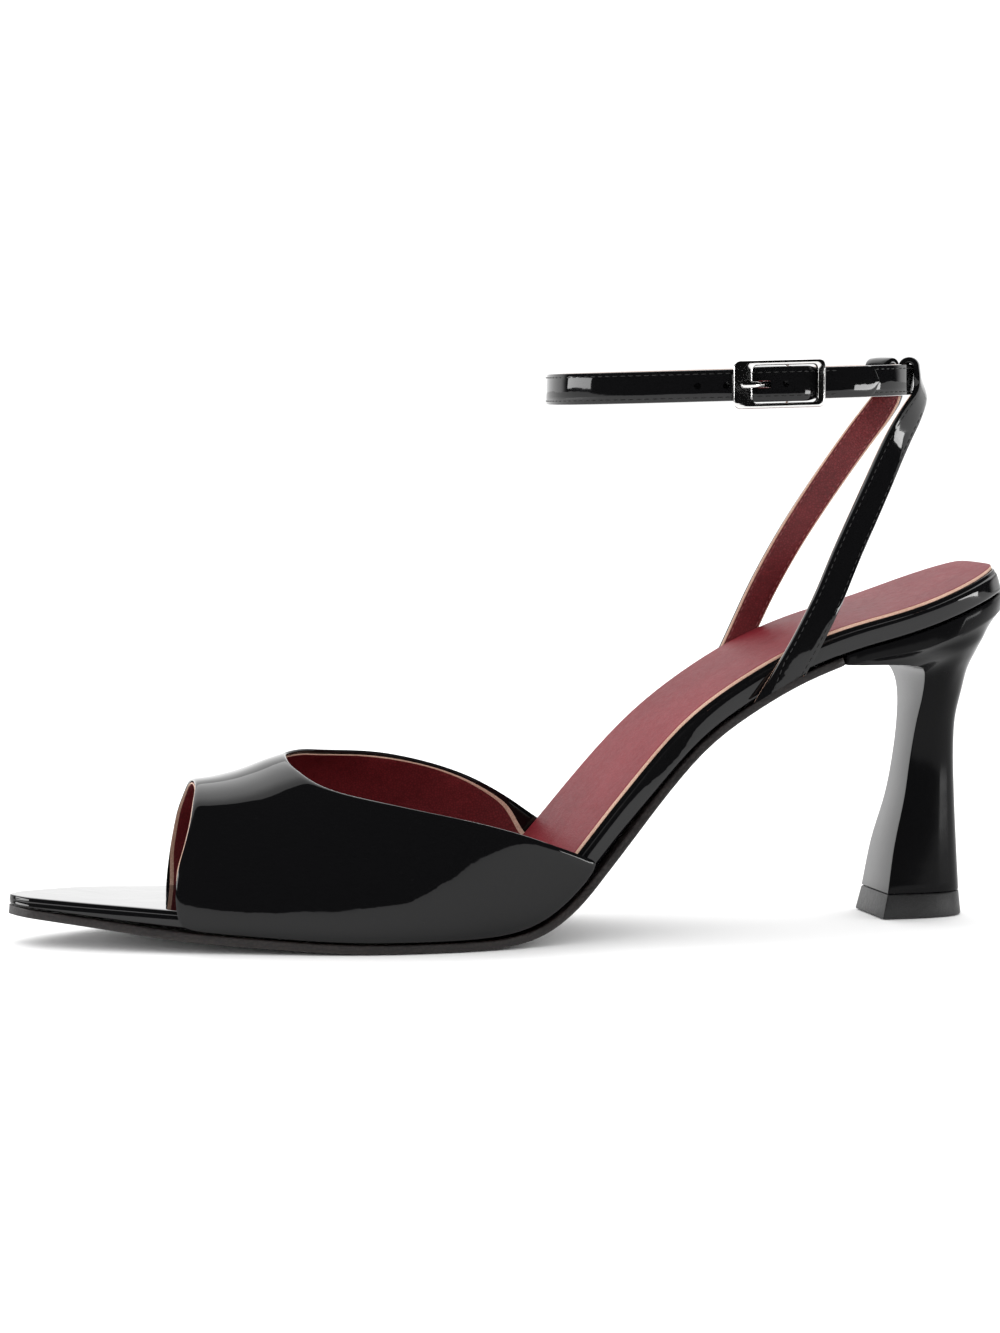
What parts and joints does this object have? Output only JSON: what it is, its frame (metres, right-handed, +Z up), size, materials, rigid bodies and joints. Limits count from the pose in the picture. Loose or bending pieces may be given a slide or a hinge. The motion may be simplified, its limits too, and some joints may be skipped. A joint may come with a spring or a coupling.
{
  "type": "peep toe ankle strap sandal",
  "caption": "Black patent high heeled sandal with a peep toe vamp, open back straps, buckled ankle strap and burgundy insole",
  "frame": {"origin": "centre of the heel tip's bottom face, on the floor", "axes": "+X outer side of the foot, +Y from the toe to the heel, +Z up; left shoe"},
  "size_m": [0.0752, 0.2496, 0.1407],
  "materials": {
    "patent": "black patent leather with a mirror gloss",
    "sole": "dark leather sole, edge polished black",
    "insole": "burgundy leather with a satin sheen",
    "heel_cover": "black patent cover drawn over a moulded heel",
    "tip": "hard black rubber, half matte",
    "buckle_metal": "polished silver coloured metal"
  },
  "bodies": {
    "root": {"outsole": "sole", "platform": "patent", "sock": "insole", "upper_vamp": "patent", "heel": "heel_cover", "heel_tip": "tip", "back_straps": "patent", "ankle_strap": "patent", "buckle_frame": "buckle_metal", "buckle_prong": "buckle_metal"}
  },
  "joints": []
}
